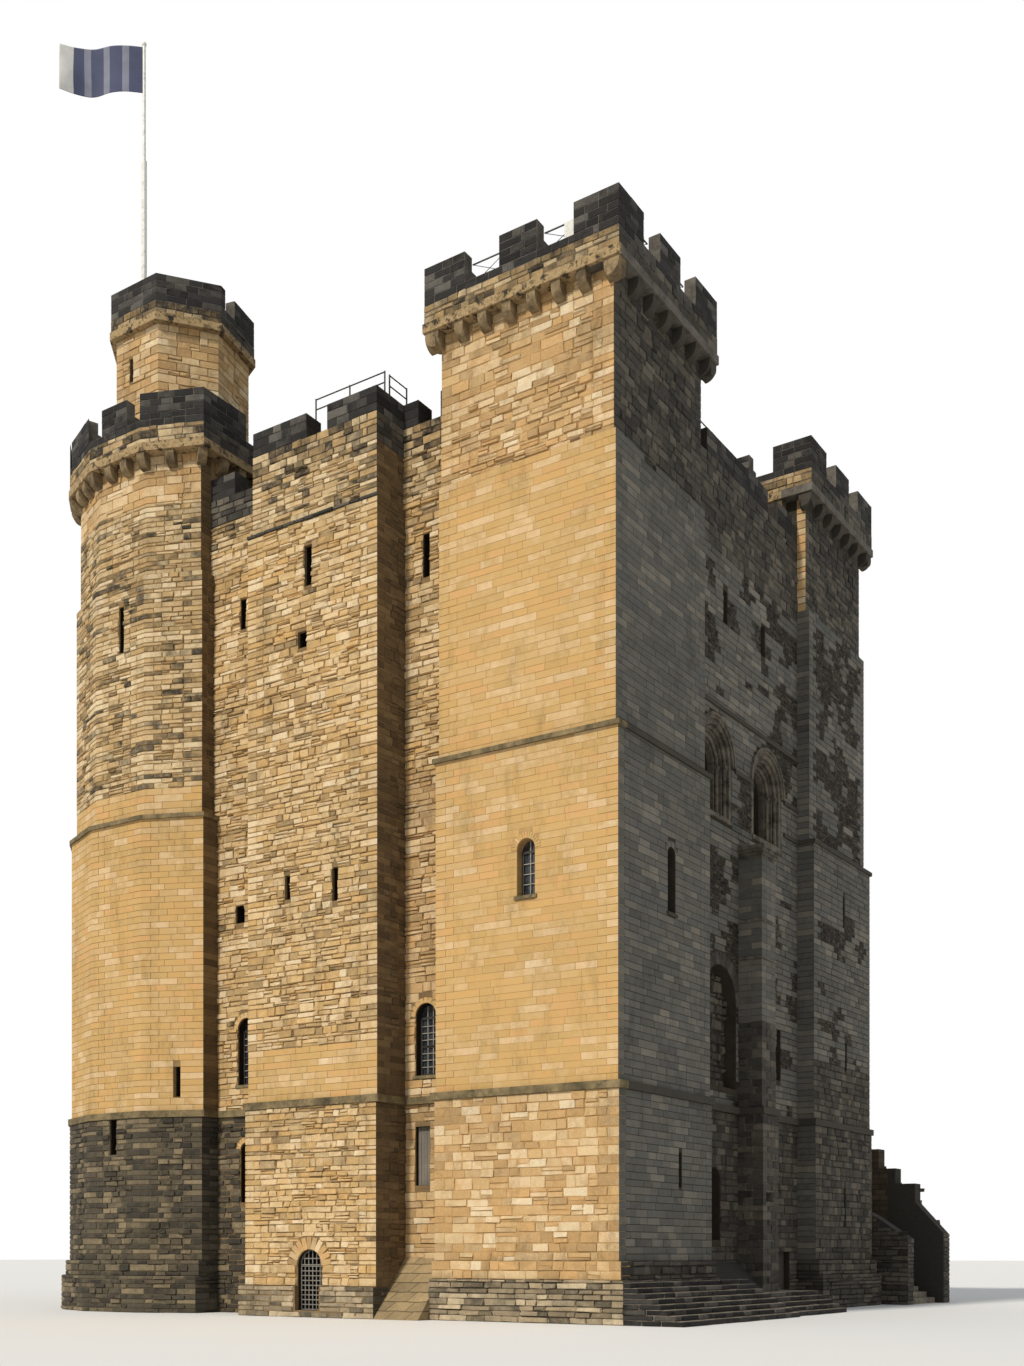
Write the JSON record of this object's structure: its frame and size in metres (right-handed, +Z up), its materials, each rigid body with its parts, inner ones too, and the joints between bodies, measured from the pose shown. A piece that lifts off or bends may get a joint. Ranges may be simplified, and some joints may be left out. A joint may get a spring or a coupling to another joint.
{
  "type": "castle keep",
  "caption": "Square stone castle keep with corner turrets, a many-sided north-west turret, corbelled battlements, round-arched windows and an outside stair.",
  "frame": {"origin": "middle of the keep at ground level, on the underside of the ground floor", "axes": "+Z up, +Y north, +X east; the west front faces -X and the south front faces -Y"},
  "size_m": [22.1033, 22.4633, 39.2],
  "materials": {
    "ashlar": "smooth coursed sandstone blocks, honey to orange",
    "rubble": "eroded squared sandstone rubble",
    "black_stone": "soot-blackened weathered sandstone",
    "moulded_stone": "weathered moulded sandstone",
    "step_stone": "worn grey sandstone",
    "floor_boards": "old oak boards",
    "weathered_boards": "grey weathered planks",
    "iron": "black painted iron bars",
    "pole_paint": "white gloss paint",
    "glass": "old leaded glass",
    "flag_cloth": "woven flag bunting with plain stripes"
  },
  "bodies": {
    "keep": {"sw_turret": "ashlar", "sw_corbels": "moulded_stone", "sw_parapet": "black_stone", "se_turret": "rubble", "se_corbels": "moulded_stone", "se_parapet": "black_stone", "ne_turret": "rubble", "ne_corbels": "moulded_stone", "ne_parapet": "black_stone", "nw_turret": "rubble", "nw_corbels": "moulded_stone", "nw_parapet": "black_stone", "flag_turret": "rubble", "flag_turret_parapet": "black_stone", "west_wall": "rubble", "west_buttress": "rubble", "buttress_base": "rubble", "south_wall": "ashlar", "east_wall": "rubble", "north_wall": "rubble", "west_parapet": "black_stone", "south_parapet": "black_stone", "east_parapet": "black_stone", "north_parapet": "black_stone", "string_courses": "moulded_stone", "south_pilaster": "ashlar", "great_window_west": "moulded_stone", "great_window_east": "moulded_stone", "south_steps": "step_stone", "foot_slopes": "step_stone", "stair_flight": "step_stone", "stair_landing": "rubble", "stair_inner_wall": "rubble", "stair_outer_wall": "black_stone", "ground_floor": "step_stone", "first_floor": "floor_boards", "hall_floor": "floor_boards", "upper_floor": "floor_boards", "roof_deck": "step_stone", "turret_roofs": "step_stone", "window_glass": "glass", "boarded_window": "weathered_boards", "upper_door": "weathered_boards", "gate_head": "iron", "hinge_pintles": "iron", "roof_railings": "iron", "flagpole": "pole_paint", "flag": "flag_cloth"},
    "gate": {"grille_gate": "iron"},
    "door": {"south_door": "weathered_boards"}
  },
  "joints": [
    {"name": "gate_hinge", "type": "hinge", "parent": "keep", "child": "gate", "pos_m": [-9.03, -1.229, 0.192], "axis": [0, 0, 1], "range_deg": [0, 90]},
    {"name": "door_hinge", "type": "hinge", "parent": "keep", "child": "door", "pos_m": [2.17, -9.022, 0.112], "axis": [0, 0, 1], "range_deg": [0, 90]}
  ]
}
